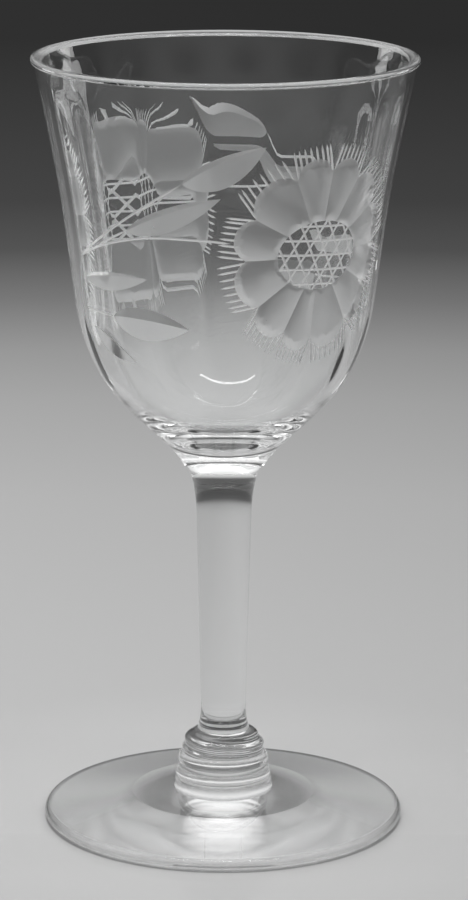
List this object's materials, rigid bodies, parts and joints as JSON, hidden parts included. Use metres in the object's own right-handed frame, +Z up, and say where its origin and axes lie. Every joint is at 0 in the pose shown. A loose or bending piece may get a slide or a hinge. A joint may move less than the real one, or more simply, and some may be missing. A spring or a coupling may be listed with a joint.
{
  "type": "sherry glass",
  "caption": "Stemmed sherry glass with a bell-shaped bowl, rolled rim, floral wheel-cut bowl, slim stem, knop and round foot, for serving fortified wine.",
  "frame": {"origin": "centre of the foot's resting ring, on the glass's axis", "axes": "+Z up along the glass's axis, -Y towards the camera of the picture, +X to its right"},
  "size_m": [0.059, 0.059, 0.1202],
  "materials": {
    "bowl_glass": "clear, with matt wheel-cut ornament",
    "stem_glass": "clear, fire-polished"
  },
  "bodies": {
    "root": {"bowl": "bowl_glass", "wafer": "stem_glass", "stem": "stem_glass", "knop": "stem_glass", "collar": "stem_glass", "foot": "stem_glass"}
  },
  "joints": []
}
